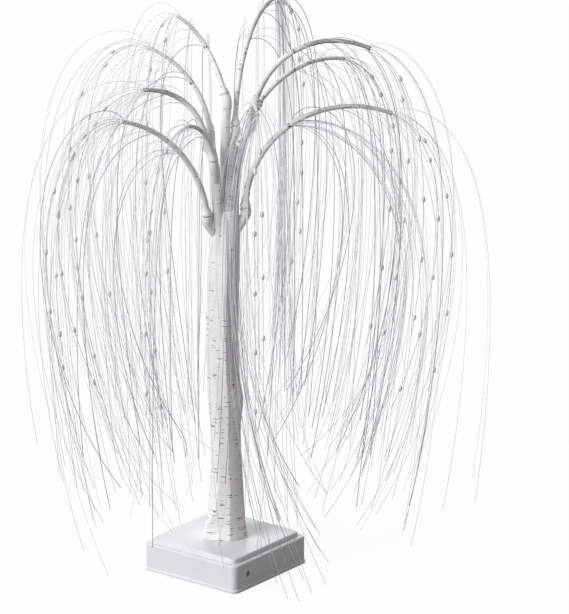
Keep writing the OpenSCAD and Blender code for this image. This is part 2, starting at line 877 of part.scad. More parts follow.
// One solid: the taped bundle, with every strand grown out of a face of a knot or of the tip
module limb_strands(l) {
    pts = bundle_points(l);
    all = strands(l);
    rows = len(stops_share) - 1;
    n = bundle_sides;
    last = (2 * bundle_knots - 1) * n;
    plain = concat(
        start_cap(n),
        [for (j = [0:bundle_knots - 1], k = [0:n - 1]) knot_faces(j, k)[0]],
        flat([for (j = [0:bundle_knots - 2]) skin(2, n, (2 * j + 1) * n)]),
        [[last, last + 3, last + 2], [last, last + 4, last + 3]]
    );
    grown = flat([
        for (i = [0:len(all) - 1])
            let (first = len(pts) + 3 * rows * i, f = all[i][0], root = [f[0], f[2], f[1]])
            concat(
                [
                    for (k = [0:2])
                        let (a = root[k], b = root[(k + 1) % 3], c = first + k, d = first + (k + 1) % 3)
                        each [[a, c, d], [a, d, b]]
                ],
                skin(rows, 3, first),
                end_cap(3, first + 3 * (rows - 1))
            )
    ]);
    color("lavender")
        polyhedron(
            concat(pts, flat([for (s = all) flat(strand_rows(l, s, pts))])),
            concat(plain, grown),
            convexity = 10
        );
}

// Two light strings from the tip of the bundle, each a thin wire with lozenge beads
module limb_lights(l) {
    pts = bundle_points(l);
    m = (2 * bundle_knots - 1) * bundle_sides;
    tip = along(l[1], l[4]);
    color("lightsteelblue")
        for (w = [0, 1]) {
            face = [pts[m], pts[m + 2 + w], pts[m + 3 + w]];
            root = (face[0] + face[1] + face[2]) / 3;
            h = l[1] - fan * l[9] * (0.04 + 0.25 * w);
            bend = l[7] * (0.98 - 0.1 * w);
            a1 = -90 - 6 * w;
            seats = [for (b = [0:beads - 1]) (b + 0.7 + 0.3 * w) * bead_step];
            stops = concat(
                [0, 6],
                flat([for (s = seats) [s - 1.3 * bead_r, s, s + 1.3 * bead_r]]),
                [seats[beads - 1] + 20]
            );
            radii = concat(
                [strand_r, strand_r],
                flat([for (s = seats) [strand_r, bead_r, strand_r]]),
                [strand_r]
            );
            curl = 0.6 * l[10] / pow(seats[beads - 1], 2);
            path = strand_path(root, h, l[4], a1, bend, curl, stops);
            loft([
                for (i = [0:len(stops) - 1])
                    let (t = i == 0 ? tip : along(h, strand_rise(stops[i], l[4], a1, bend, curl)))
                    ring(path[i], t, across(h), radii[i], 3)
            ]);
        }
}

base_cover();
base_plate();
rubber_feet();
cover_screws();
battery_door();
battery_cells();
contact_springs();
contact_plates();
circuit_board();
board_parts();
ir_receiver();
receiver_window();
switch_body();
switch_slider();
trunk_post();
post_nut();
lead_wires();
trunk_bark();
stem_left();
stem_centre();
stem_right();
for (l = LIMBS) {
    limb_bark(l);
    limb_strands(l);
    limb_lights(l);
}
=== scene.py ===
# Light-up willow tree: a white battery base, a bark-wrapped trunk with three stems, and ten
# bendable limbs that shed thin strands and strings of bead lights. Metres, Z up.
import json
import math
import bpy
import numpy as np
from mathutils import Matrix, Vector


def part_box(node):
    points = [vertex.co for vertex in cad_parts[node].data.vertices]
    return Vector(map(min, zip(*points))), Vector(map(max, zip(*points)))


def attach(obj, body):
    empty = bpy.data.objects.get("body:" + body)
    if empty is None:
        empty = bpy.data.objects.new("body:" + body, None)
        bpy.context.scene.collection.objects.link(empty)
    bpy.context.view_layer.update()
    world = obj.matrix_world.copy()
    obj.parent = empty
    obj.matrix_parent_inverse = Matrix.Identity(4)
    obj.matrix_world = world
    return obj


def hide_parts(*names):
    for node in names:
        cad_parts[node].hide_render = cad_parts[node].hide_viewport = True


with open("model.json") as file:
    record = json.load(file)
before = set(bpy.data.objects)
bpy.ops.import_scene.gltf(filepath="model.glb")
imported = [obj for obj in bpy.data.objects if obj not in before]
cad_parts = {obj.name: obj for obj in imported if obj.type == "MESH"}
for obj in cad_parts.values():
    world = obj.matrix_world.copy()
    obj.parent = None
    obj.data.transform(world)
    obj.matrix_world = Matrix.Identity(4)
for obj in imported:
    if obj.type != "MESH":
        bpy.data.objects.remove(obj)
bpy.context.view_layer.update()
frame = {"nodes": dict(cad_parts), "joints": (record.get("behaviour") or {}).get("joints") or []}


# Camera
shot = {
    "azimuth": 37.7,  # degrees round from the front face
    "elevation": 18.2,
    "distance": 6.0,  # a long lens from far off
    "picture": (569, 614),  # pixels
    "baseAt": (225.5, 566.3),  # pixel of the base's middle on the table
    "perPixel": 0.00102,  # metres across one pixel there
    "sensor": 36.0,
    "farthest": 50.0,  # what the lens still sees
}


def viewAxes(azimuth, elevation):
    # right, up and towards-the-camera directions of a view
    a, e = math.radians(azimuth), math.radians(elevation)
    right = np.array((math.cos(a), math.sin(a), 0))
    back = np.array((math.sin(a) * math.cos(e), -math.cos(a) * math.cos(e), math.sin(e)))
    return right, np.cross(back, right), back


def makeCamera(s):
    # the aim lies off the base as far as the base lies off the picture's middle
    right, up, back = viewAxes(s["azimuth"], s["elevation"])
    wide, tall = s["picture"]
    aim = right * (wide / 2 - s["baseAt"][0]) + up * (s["baseAt"][1] - tall / 2)
    eye = aim * s["perPixel"] + back * s["distance"]
    lens = bpy.data.cameras.new("pictureLens")
    lens.sensor_width = s["sensor"]
    lens.lens = s["sensor"] * s["distance"] / (tall * s["perPixel"])
    lens.clip_end = s["farthest"]
    camera = bpy.data.objects.new("pictureCamera", lens)
    turn = Matrix(np.stack((right, up, back), 1).tolist()).to_4x4()
    camera.matrix_world = Matrix.Translation(eye.tolist()) @ turn
    bpy.context.scene.collection.objects.link(camera)
    bpy.context.scene.camera = camera


makeCamera(shot)
print("camera: lens", round(bpy.context.scene.camera.data.lens), "mm")


# Shader nodes
class Wire:
    # one socket of a node tree; sums and products of wires add Math nodes
    def __init__(self, tree, node=None, socket=None):
        self.tree = tree
        self.node = node
        self.socket = socket

    def make(self, kind, settings=None, sockets=None, output=0):
        # a new node: its settings first, then its sockets' values or links
        node = self.tree.nodes.new("ShaderNode" + kind)
        for name, value in (settings or {}).items():
            setattr(node, name, value)
        for name, value in (sockets or {}).items():
            if isinstance(value, Wire):
                self.tree.links.new(value.socket, node.inputs[name])
            else:
                node.inputs[name].default_value = value
        return Wire(self.tree, node, node.outputs[output] if node.outputs else None)

    def side(self, output):
        # another output of the same node
        return Wire(self.tree, self.node, self.node.outputs[output])

    def math(self, operation, *values):
        return self.make("Math", {"operation": operation}, dict(enumerate(values)))

    def __add__(self, other):
        return self.math("ADD", self, other)

    def __radd__(self, other):
        return self.math("ADD", other, self)

    def __sub__(self, other):
        return self.math("SUBTRACT", self, other)

    def __rsub__(self, other):
        return self.math("SUBTRACT", other, self)

    def __mul__(self, other):
        return self.math("MULTIPLY", self, other)

    def __rmul__(self, other):
        return self.math("MULTIPLY", other, self)

    def __lt__(self, other):
        return self.math("LESS_THAN", self, other)

    def step(self, low, high):
        # a smooth step of this value, 0 at low and 1 at high
        sockets = {"Value": self, "From Min": low, "From Max": high}
        return self.make("MapRange", {"interpolation_type": "SMOOTHSTEP"}, sockets)

    def blend(self, first, second):
        # the first colour at 0, the second at 1
        return self.make("Mix", {"data_type": "RGBA"}, {0: self, 6: first, 7: second}, 2)

    def scaled(self, x, y, z):
        return self.make("Mapping", None, {"Vector": self, "Scale": (x, y, z)})

    def noise(self, scale, detail):
        return self.make("TexNoise", None, {"Vector": self, "Scale": scale, "Detail": detail})

    def value(self, name):
        # a number held by each point of the mesh
        return self.make("Attribute", {"attribute_name": name}, None, "Fac")

    def bump(self, strength, distance):
        sockets = {"Height": self, "Strength": strength, "Distance": distance}
        return self.make("Bump", None, sockets)


def newFinish(name):
    # an empty material with its Object and UV coordinates
    finish = bpy.data.materials.new(name)
    finish.use_nodes = True
    finish.node_tree.nodes.clear()
    start = Wire(finish.node_tree)
    place = start.make("TexCoord", None, None, "Object")
    return finish, place, place.side("UV")


def closeFinish(wire, sockets):
    # the shader and the output of a material
    shader = wire.make("BsdfPrincipled", None, sockets)
    wire.make("OutputMaterial", None, {"Surface": shader})


# Light and floor
studio = {
    # degrees left of the camera, degrees above the table, watts to a square metre, degrees across
    "lamps": {"keyLamp": (56, 31, 2.6, 45), "backLamp": (185, 32, 0.85, 60)},
    "fill": 0.165,  # light from all round
    "fillColour": (1.0, 0.955, 0.92, 1),
    "white": (1, 1, 1, 1),
    "floor": (0.3, 0.3, 0.3, 1),
    "floorGlow": 0.94,  # share of plain white seen on the floor
    "floorReach": 8.0,
}


def makeLamp(name, fromLeft, height, energy, across):
    # a sun, placed by where the camera stands
    light = bpy.data.lights.new(name, "SUN")
    light.energy = energy
    light.angle = math.radians(across)
    lamp = bpy.data.objects.new(name, light)
    _, _, towards = viewAxes(shot["azimuth"] - fromLeft, height)
    lamp.rotation_mode = "QUATERNION"
    lamp.rotation_quaternion = Vector(towards).to_track_quat("Z", "Y")
    bpy.context.scene.collection.objects.link(lamp)


def plainSight(start):
    # 1 for rays that see the white surroundings: straight, mirrored or let through
    path = start.make("LightPath", None, None, "Is Camera Ray")
    straight = path.math("MAXIMUM", path, path.side("Is Glossy Ray"))
    return straight.math("MAXIMUM", straight, path.side("Is Transmission Ray"))


def makeWorld(s):
    # a dim fill that looks white
    world = bpy.data.worlds.new("studioWorld")
    bpy.context.scene.world = world
    world.use_nodes = True
    world.node_tree.nodes.clear()
    start = Wire(world.node_tree)
    seen = plainSight(start)
    fill = start.make("Background", None, {"Color": s["fillColour"], "Strength": s["fill"]})
    white = start.make("Background", None, {"Color": s["white"], "Strength": 1.0})
    both = start.make("MixShader", None, {0: seen, 1: fill, 2: white})
    start.make("OutputWorld", None, {"Surface": both})


def makeFloor(s):
    # a flat square of four points
    finish, place, _ = newFinish("paleFloor")
    seen = plainSight(place)
    matt = place.make("BsdfDiffuse", None, {"Color": seen.blend(s["floor"], s["white"])})
    glow = place.make("Emission", None, {"Color": s["white"], "Strength": 1.0})
    both = place.make("MixShader", None, {0: seen * s["floorGlow"], 1: matt, 2: glow})
    place.make("OutputMaterial", None, {"Surface": both})
    reach = s["floorReach"]
    corners = [(-reach, -reach, 0), (reach, -reach, 0), (reach, reach, 0), (-reach, reach, 0)]
    mesh = bpy.data.meshes.new("floor")
    mesh.from_pydata(corners, [], [(0, 1, 2, 3)])
    mesh.materials.append(finish)
    floor = bpy.data.objects.new("floor", mesh)
    bpy.context.scene.collection.objects.link(floor)


for name, lamp in studio["lamps"].items():
    makeLamp(name, *lamp)
makeWorld(studio)
makeFloor(studio)
bpy.context.scene.view_settings.view_transform = "Standard"
print("studio:", len(studio["lamps"]), "lamps, fill and floor")


# Meshes
def unit(v):
    # vectors brought to a length of 1
    return v / np.linalg.norm(v, axis=-1, keepdims=True)


def ease(x):
    # a smooth step from 0 to 1
    t = np.clip(x, 0, 1)
    return t * t * (3 - 2 * t)


def fullTurn(sides):
    # angles round a ring
    return np.linspace(0, 2 * np.pi, sides, endpoint=False)


def smoothRow(points, count):
    # a Catmull-Rom curve through rows of numbers, in even steps of its parameter
    p = np.asarray(points, float)
    p = np.vstack((2 * p[0] - p[1], p, 2 * p[-1] - p[-2]))
    t = np.linspace(0, len(p) - 3, count)
    i = np.minimum(t.astype(int), len(p) - 4)
    f = (t - i)[:, None]
    a, b, c, d = p[i], p[i + 1], p[i + 2], p[i + 3]
    return b + 0.5 * f * (c - a + f * (2 * a - 5 * b + 4 * c - d + f * (3 * (b - c) + d - a)))


def sweep(path, radius, across, sides, along=None):
    # rings carried along paths: path (n, m, 3), radius (n, m) or (n, m, sides), and a direction
    # across each path (n, 3) that starts its rings; each ring is square to the path
    t = unit(np.gradient(path, axis=1)) if along is None else along
    a = np.broadcast_to(across[:, None, :], path.shape)
    a = unit(a - np.sum(a * t, -1, keepdims=True) * t)
    b = np.cross(t, a)
    turn = fullTurn(sides)
    radius = radius if radius.ndim == 3 else radius[:, :, None]
    spoke = np.cos(turn)[:, None] * a[:, :, None, :] + np.sin(turn)[:, None] * b[:, :, None, :]
    return path[:, :, None, :] + radius[..., None] * spoke


def ringUv(grid):
    # metres around and along each skin, for the corners of its faces and then of its two ends
    n, _, sides, _ = grid.shape
    girth = np.linalg.norm(grid - np.roll(grid, -1, axis=2), axis=-1).sum(2).max(1)
    u = np.arange(sides + 1)[None, None, :] * girth[:, None, None] / sides
    step = np.linalg.norm(np.diff(grid.mean(2), axis=1), axis=-1)
    v = np.concatenate((np.zeros((n, 1)), np.cumsum(step, 1)), 1)[:, :, None]
    uv = np.stack(np.broadcast_arrays(u, v), -1)
    faces = np.stack((uv[:, :-1, :-1], uv[:, :-1, 1:], uv[:, 1:, 1:], uv[:, 1:, :-1]), -2)
    ends = np.concatenate((uv[:, 0, -2::-1], uv[:, -1, :-1]))
    return np.concatenate((faces.ravel(), ends.ravel())).astype(np.float32)


def ringMesh(name, grid, finish, values=None):
    # closes grids of rings (n, m, sides, 3) into skins with two end faces each; each named value
    # (n, m, sides) becomes an attribute
    n, m, sides, _ = grid.shape
    index = np.arange(n * m * sides).reshape(n, m, sides)
    nextSide = np.roll(index, -1, axis=2)
    quads = np.stack((index[:, :-1], nextSide[:, :-1], nextSide[:, 1:], index[:, 1:]), -1)
    ends = np.concatenate((index[:, 0, ::-1], index[:, -1]))
    corners = np.concatenate((quads.ravel(), ends.ravel()))
    starts = np.concatenate((np.arange(quads.size // 4) * 4, quads.size + np.arange(2 * n) * sides))
    mesh = bpy.data.meshes.new(name)
    mesh.vertices.add(index.size)
    mesh.vertices.foreach_set("co", grid.astype(np.float32).ravel())
    mesh.loops.add(corners.size)
    mesh.loops.foreach_set("vertex_index", corners.astype(np.int32))
    mesh.polygons.add(starts.size)
    mesh.polygons.foreach_set("loop_start", starts.astype(np.int32))
    mesh.uv_layers.new(name="wrap")
    for key, value in (values or {}).items():
        attribute = mesh.attributes.new(key, "FLOAT", "POINT")
        attribute.data.foreach_set("value", np.broadcast_to(value, index.shape).astype(np.float32).ravel())
    mesh.update(calc_edges=True)
    mesh.uv_layers["wrap"].data.foreach_set("uv", ringUv(grid))
    smooth = np.ones(starts.size, bool)
    smooth[-2 * n:] = False
    mesh.polygons.foreach_set("use_smooth", smooth)
    mesh.materials.append(finish)
    piece = bpy.data.objects.new(name, mesh)
    bpy.context.scene.collection.objects.link(piece)
    return piece


def settle(piece, body, slot, *nodes):
    # hangs a piece on its body in place of its CAD nodes
    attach(piece, body)
    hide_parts(*nodes)


# Bark finish of the trunk, stems and limbs; an edge is where a mark or stain starts and where it is full
bark = {
    "paper": (0.955, 0.955, 0.955, 1),
    # colour of the stains, and of the painted shade in the creases
    "stain": (0.86, 0.835, 0.815, 1),
    # colour of the painted warm shade on the trunk's side away from the key lamp
    "tan": (0.9, 0.865, 0.84, 1),
    # colour of the painted shade on the right stem and the limbs' outer ends
    "soot": (0.26, 0.255, 0.26, 1),
    "ink": (0.02, 0.018, 0.018, 1),
    "dashes": (95.0, 820.0),  # cells of fine dashes to a metre, around and along
    "dashEdge": (0.68, 0.5),
    "dashSpread": 0.4,  # how much shorter the shortest dashes are
    "dashShare": 0.04,  # share of the cells that hold a dash
    "patchShare": 0.55,  # as much more where dashes gather
    "patches": 22.0,  # places where they gather, to a metre
    "patchEdge": (0.44, 0.68),
    "footShare": 0.26,  # and as much more at the foot of the trunk
    "footHeights": (0.105, 0.06),
    "fading": 160.0,  # changes of a dash's strength to a metre
    "fadeEdge": (0.3, 0.62),
    "fade": (0.25, 0.65),  # its least and its span
    "scars": (60.0, 250.0),  # cells of the larger scars
    "scarEdge": (0.36, 0.24),
    "scarShare": 0.035,
    "scarStray": 0.2,  # share of them that lies everywhere
    "ragged": (1400.0, 0.16),  # how fine and how deep the marks' edges are torn
    "streaks": (420.0, 260.0),  # dark streaks, likewise
    "streakEdge": (0.42, 0.56),
    "lines": (26.0, 900.0),  # fine creases, likewise
    "lineEdge": (0.56, 0.8),
    "clouds": 60.0,  # stains to a metre
    "cloudEdge": (0.35, 0.75),
    "stains": (0.5, 0.3),  # stain in the clouds, and painted shade in the creases
    "grime": (500.0, 0.75, 0.5),  # how fine the painted shade's speckle is, its least and its span
    "grain": 700.0,
    "relief": (0.8, 0.6, 0.35),  # of the creases and the marks beside the grain, and of them all
    "bump": 0.0006,
    "rough": (0.5, 0.18),  # roughness, and as much more in the clouds
}


def markCells(uv, scale):
    # the distance to the middle of each cell, and a chance from 0 to 1 for each
    cells = uv.make("TexVoronoi", None, {"Vector": uv.scaled(*scale, 1), "Scale": 1.0})
    return cells, cells.make("SeparateColor", None, {"Color": cells.side("Color")})


def barkMarks(place, uv, s):
    # dashes and scars: a share of the cells of a Voronoi pattern is inked; streaks: stretched noise
    # where the mesh is charred
    height = place.make("SeparateXYZ", None, {"Vector": place}, "Z")
    patches = place.noise(s["patches"], 2).step(*s["patchEdge"])
    fine, deep = s["ragged"]
    ragged = place.noise(fine, 2) * deep
    dashes, dashChance = markCells(uv, s["dashes"])
    dashShare = patches * s["patchShare"] + s["dashShare"] + height.step(*s["footHeights"]) * s["footShare"]
    shorter = dashChance.side("Green") * s["dashSpread"]
    dash = (dashChance < dashShare) * (dashes + ragged + shorter).step(*s["dashEdge"])
    scars, scarChance = markCells(uv, s["scars"])
    scarShare = (patches + s["scarStray"]) * s["scarShare"]
    scar = (scarChance < scarShare) * (scars + ragged).step(*s["scarEdge"])
    least, span = s["fade"]
    faded = place.noise(s["fading"], 2).step(*s["fadeEdge"]) * span + least
    streak = (place.value("char") * uv.scaled(*s["streaks"], 1).noise(1, 3)).step(*s["streakEdge"])
    return dash.math("MAXIMUM", dash * faded, scar.math("MAXIMUM", scar, streak))


def barkFinish(s):
    # stained paper with painted shade in its creases, painted warm shade on one side of the trunk, and
    # painted shade on the right stem and the limbs' outer ends, under the marks
    finish, place, uv = newFinish("barkWrap")
    mark = barkMarks(place, uv, s)
    lines = uv.scaled(*s["lines"], 1).noise(1, 4).step(*s["lineEdge"])
    cloud = place.noise(s["clouds"], 4).step(*s["cloudEdge"])
    # painted shade: how much each point is darkened
    shadeMask = place.value("soot")
    # real stains in the clouds, painted shade in the creases
    cloudStain, creaseShade = s["stains"]
    paper = (cloud * cloudStain + lines * creaseShade).blend(s["paper"], s["stain"])
    # painted warm shade on one side of the trunk
    paper = place.value("tan").blend(paper, s["tan"])
    fine, least, span = s["grime"]
    # painted shade, speckled, laid over the paper
    shadedPaper = (shadeMask * (place.noise(fine, 3) * span + least)).blend(paper, s["soot"])
    lineRelief, markRelief, strength = s["relief"]
    relief = place.noise(s["grain"], 4) + lines * lineRelief + mark * markRelief
    rough, rougher = s["rough"]
    closeFinish(place, {
        "Base Color": mark.blend(shadedPaper, s["ink"]),
        "Roughness": rough + cloud * rougher,
        "Normal": relief.bump(strength, s["bump"]),
    })
    return finish


barkWrap = barkFinish(bark)


# Trunk; headings are degrees round from the camera, and heights within the trunk are in mm
trunk = {
    "top": 0.385,
    "radius": 0.0165,
    "flare": 0.006,
    "flareHeight": 0.028,
    "waist": (0.0016, 100, 45),  # depth, height and half its length
    "flute": 0.0013,
    "flutes": ((0.4, 3, 0.25), (0.3, 2, -0.4)),  # two sets: depth, number, degrees of wind to a mm
    "splitHeight": 0.07,
    "core": 0.009,
    "coreTip": 0.003,
    "coreFall": 0.012,  # height of the core's tip
    "burl": (0.0035, 145, 20, 38, 2),  # size, height, half length, turn, how narrow it is
    "wrap": (0.0006, 1.2),  # paper over the stems, and how far it sinks at the top
    "facing": (-50, -8, 30, 92, 150, 210, 262),  # headings of the wrap's facets
    "footTurn": (-150, -8, 9, 0, 0, 0, 0),  # how far they turn aside at the foot
    "footFade": 15,
    "topTurn": (12, -30, 24, 6, 0, 0, 0),  # and towards the top
    "topStart": (135, 70),  # from this height on, over this length
    "widest": 1.2,  # half of the widest facet, in radians
    "facetFade": (0.36, 1.4),  # fading up the trunk, in metres, and when it starts
    "facetFoot": (0.65, 20),  # share at the foot, and the length to grow over
    "facetShare": 0.72,
    "facetIn": 0.955,  # how far in the flats lie
    "crease": (0.00016, 1.6, 10),  # depth, how much more at the foot, and over what length
    "creaseWaves": (0.9, 3, 2, 0.03, 0.37, 5),
    "sway": ((0.0015, 1.3, 0), (0.0012, 0.9, 40)),  # how far the axis strays, degrees to a mm, start
    "tanTurn": 95,  # heading of the middle of the side with painted warm shade
    "tanEdge": (0.1, 0.6),
    "rows": 260,
    "sides": 168,
}

# The stems' axes above the trunk's top, with the radius at each point, in metres
stems = {
    "stem_left": ((-0.003, -0.0068, 0, 0.0056), (-0.0047, -0.0081, 0.0305, 0.0053),
        (-0.0081, -0.0107, 0.061, 0.0049)),
    "stem_centre": ((-0.006, 0.0075, 0, 0.0055), (-0.0052, 0.0074, 0.0427, 0.005),
        (-0.0014, 0.0059, 0.097, 0.0042)),
    "stem_right": ((0.0069, 0.0034, 0, 0.0069), (0.009, 0.0038, 0.0366, 0.0066),
        (0.0113, 0.005, 0.061, 0.0062)),
    "stem_upper": ((0.0089, 0.0056, 0.04, 0.005), (0.0141, 0.0096, 0.066, 0.005),
        (0.0225, 0.0165, 0.089, 0.0046)),
}


def stemReach(x, y, r, turn):
    # how far a round stem reaches from the trunk's axis in each direction
    d = x * np.cos(turn) + y * np.sin(turn)
    q = r * r - x * x - y * y + d * d
    return np.where(q > 0, d + np.sqrt(np.maximum(q, 0)), 0)


def trunkRound(s, h, turn):
    # radius of the round wood over height and turn: a flared foot and a waist, winding flutes, a burl
    mm, deg = 1000 * h, np.degrees(turn)
    depth, middle, half = s["waist"]
    r = s["radius"] + s["flare"] * np.exp(-h / s["flareHeight"])
    r = r - depth * np.exp(-((mm - middle) / half) ** 2)
    (deep, number, wind), (deeper, more, unwind) = s["flutes"]
    groove = deep * np.cos(np.radians(number * deg + wind * mm))
    groove = groove + deeper * np.sin(np.radians(more * deg + unwind * mm))
    size, middle, half, burlTurn, narrow = s["burl"]
    bulge = np.exp(-((mm - middle) / half) ** 2)
    bulge = bulge * np.exp(-narrow * (1 - np.cos(np.radians(deg - burlTurn))))
    return r + s["flute"] * groove + size * bulge


def trunkFacets(s, h, turn, camera):
    # what flat facets make of the radius: 1 over the cosine of the angle from the nearest one's middle
    mm = 1000 * h
    facing = np.add(s["facing"], np.exp(-mm / s["footFade"])[..., None] * s["footTurn"])
    start, length = s["topStart"]
    facing = facing + ease((mm - start) / length)[..., None] * s["topTurn"]
    gaps = turn[..., None] - camera - np.radians(facing)
    gaps = (gaps + np.pi) % (2 * np.pi) - np.pi
    flats = (1 / np.cos(np.clip(gaps, -s["widest"], s["widest"]))).min(-1)
    fadeHeight, fadeStart = s["facetFade"]
    least, length = s["facetFoot"]
    share = s["facetShare"] * ease(fadeStart - h / fadeHeight) * ease(least + mm / length)
    return 1 + share * (s["facetIn"] * flats - 1)


def makeTrunk(s):
    # the faceted wood turns at the top to the outline of the three wrapped stems; then creases, and an
    # axis that strays
    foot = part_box("base_cover")[1].z
    h = (s["top"] - foot) * np.linspace(0, 1, s["rows"])[:, None]
    turn = fullTurn(s["sides"])[None, :]
    mm = 1000 * h
    camera = math.radians(shot["azimuth"] - 90)
    r = trunkRound(s, h, turn) * trunkFacets(s, h, turn, camera)
    below = h + foot - s["top"]
    tip = ease(below / s["coreFall"] + 1)
    wrapped = s["core"] - (s["core"] - s["coreTip"]) * tip
    paper, sink = s["wrap"]
    for x, y, up, size in [axis[0] for axis in stems.values()]:
        reach = stemReach(x, y, size + paper * (1 - sink * tip), turn)
        wrapped = np.maximum(wrapped, reach * (up == 0))
    split = ease(below / s["splitHeight"] + 1)
    free = 1 - split
    r = free * r + split * wrapped
    depth, more, length = s["crease"]
    wave, wander, wanders, twist, second, folds = s["creaseWaves"]
    crease = np.sin(wave * mm + wander * np.sin(wanders * turn + twist * mm))
    crease = crease * np.sin(second * mm + folds * turn)
    r = r + depth * crease * (1 + more * np.exp(-mm / length))
    swayX, swayY = [free * far * np.sin(np.radians(pace * mm + start)) for far, pace, start in s["sway"]]
    grid = np.stack((r * np.cos(turn) + swayX, r * np.sin(turn) + swayY, foot + h + 0 * turn), -1)
    # painted warm shade on the side away from the key lamp
    shift, span = s["tanEdge"]
    tan = ease((np.cos(turn - camera - math.radians(s["tanTurn"])) + shift) / span)
    piece = ringMesh("trunkBark", grid[None], barkWrap, {"tan": tan[None, None, 0]})
    settle(piece, "base", "bark_wrap", "trunk_bark")


makeTrunk(trunk)
print("trunk wrapped")


# Limbs: rise at the root and the tip in degrees, length, root radius; the strands' bend length, the
# height where they end, their share of the fan and the curl of their ends in degrees; and how much
# painted shade darkens the outer end
limbFields = ("rise", "tipRise", "length", "radius", "bend", "low", "share", "curl", "grey")
limbs = {
    "limb_1": (73, -13, 0.17, 0.0032, 0.0581, 0.105, 0.76, 16, 1),
    "limb_2": (89, -22, 0.206, 0.0034, 0.066, 0.052, 0.78, 26, 0.5),
    "limb_3": (47, -16, 0.118, 0.0028, 0.07, 0.06, 0.9, 14, 0.3),
    "limb_4": (88, -12, 0.1829, 0.0028, 0.062, 0.08, 1, 12, 0.25),
    "limb_5": (57, 1, 0.1201, 0.0028, 0.062, 0.08, 1, 6, 0.6),
    "limb_6": (83, 12, 0.11, 0.0028, 0.0739, 0.06, 0.6, 20, 0.3),
    "limb_7": (83, -5, 0.0859, 0.0032, 0.0779, 0.065, 0.48, 12, 0.85),
    "limb_8": (83, 15, 0.158, 0.0034, 0.066, 0.05, 0.45, 30, 0),
    "limb_9": (78, 8, 0.074, 0.0028, 0.0601, 0.055, 0.72, 5, 0.4),
    "limb_10": (62, -18, 0.075, 0.0028, 0.0541, 0.07, 1, -10, 0.25),
}
limbShape = {
    "tipShare": 0.6,  # tip radius as a share of the root's
    "bare": 0.5,  # share of the length before the strands begin
    "knots": 3,  # turns of tape that the strands come out of
    "knot": 0.0025,
    "knotBulge": (0.0012, 0.0022),  # its middle past the knot's start, and half its length
    "rings": 90,
    "sides": 16,
    "ball": (75, 5, 8),  # rings of the ball root: degrees below its middle, and how many
    "ballGap": 0.0006,
    "cupWall": 0.0015,
    "skirt": (0.0004, 0.009),  # start and end of the flare over the cup's rim
    "skirtRings": (1.5, 9),  # its first ring, in times its start, and how many
    "tapePitch": 11,  # mm along a limb to a turn of tape
    "tapeEdge": 6,  # how sharp the tape's edges are
    "lumps": (0.55, 2, 0.21),
    "swell": (0.05, 0.14, 0.06),  # of the tape's edges, the knots and the lumps
    "swellFrom": 8,  # mm over which they start
    "greyFrom": (0.42, 0.25),  # shares of the length: where the painted shade starts, and over what
    "charred": ("limb_1", "limb_2", "limb_3", "limb_5", "limb_6"),  # dark where the strands begin
    "char": (0.004, 0.0042),  # how far before the first knot, and over what length
}


def readLimbs():
    # each limb's numbers, with its root and heading from its joint
    found = {}
    for joint in frame["joints"]:
        if joint["child"] in limbs:
            limb = dict(zip(limbFields, limbs[joint["child"]]))
            limb["root"] = np.array(joint["pos_m"], float)
            limb["heading"] = math.atan2(joint["axis"][0], -joint["axis"][1])
            found[joint["child"]] = limb
    return found


def direction(heading, rise):
    # unit vectors at a heading and a rise above the table, in radians
    parts = np.broadcast_arrays(np.cos(rise) * np.cos(heading), np.cos(rise) * np.sin(heading), np.sin(rise))
    return np.stack(parts, -1)


def acrossOf(heading):
    # level directions square to headings
    return np.stack((-np.sin(heading), np.cos(heading), 0 * heading), -1)


def limbArc(limb, s):
    # places and rises at s along a limb, one arc in its own upright plane
    a0, a1 = math.radians(limb["rise"]), math.radians(limb["tipRise"])
    k = limb["length"] / (a0 - a1)
    a = a0 + (a1 - a0) * s / limb["length"]
    out = k * (math.sin(a0) - np.sin(a))
    up = k * (np.cos(a) - math.cos(a0))
    flat = np.stack((out * math.cos(limb["heading"]), out * math.sin(limb["heading"]), up), -1)
    return limb["root"] + flat, a


def limbRadius(limb, s):
    # an even taper from the root to the tip
    return limb["radius"] * (1 - (1 - limbShape["tipShare"]) * s / limb["length"])


def knotPlaces(limb):
    # where each knot of tape starts along a limb
    start = limb["length"] * limbShape["bare"]
    return np.linspace(start, limb["length"] - limbShape["knot"], limbShape["knots"])


def limbSwell(limb, s, turn, shape):
    # how much the tape widens a limb: a spiral of edges that rise by a power and drop, bell-shaped
    # knots, and lumps of two crossing waves
    mm = 1000 * s[:, None]
    edge = ((mm / shape["tapePitch"] + turn / (2 * np.pi)) % 1) ** shape["tapeEdge"]
    middle, half = shape["knotBulge"]
    knots = np.exp(-((s[:, None] - knotPlaces(limb) - middle) / half) ** 2).sum(1, keepdims=True)
    wave, folds, second = shape["lumps"]
    lumps = np.sin(wave * mm + folds * turn + limb["heading"]) * np.sin(second * mm - turn)
    edgeSwell, knotSwell, lumpSwell = shape["swell"]
    return 1 + ease(mm / shape["swellFrom"]) * (edgeSwell * edge + knotSwell * knots + lumpSwell * lumps)


